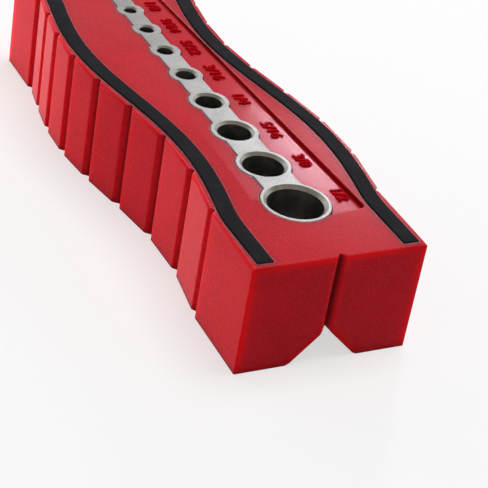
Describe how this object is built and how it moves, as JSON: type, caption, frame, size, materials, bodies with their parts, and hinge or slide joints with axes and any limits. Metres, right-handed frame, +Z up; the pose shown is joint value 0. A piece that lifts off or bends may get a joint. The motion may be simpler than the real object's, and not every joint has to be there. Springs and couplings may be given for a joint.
{
  "type": "drill guide",
  "caption": "Block-shaped drill guide with wavy ribbed sides, a V-groove underneath, a steel insert with a row of graded bores and two rubber grip strips.",
  "frame": {"origin": "middle of the flat bottom face", "axes": "+X to the right when looking from the largest bore to the smallest, +Y along the row of bores to the smallest, +Z up out of the bores"},
  "size_m": [0.0487, 0.143, 0.0273],
  "materials": {
    "moulded_plastic": "red moulded plastic with a fine spark-eroded texture and a soft satin sheen",
    "steel": "light grey blasted steel with machined bores and bright edges",
    "grip_rubber": "matt black rubber"
  },
  "bodies": {
    "root": {"body": "moulded_plastic", "guide_insert": "steel", "grip_strip_left": "grip_rubber", "grip_strip_right": "grip_rubber"}
  },
  "joints": []
}
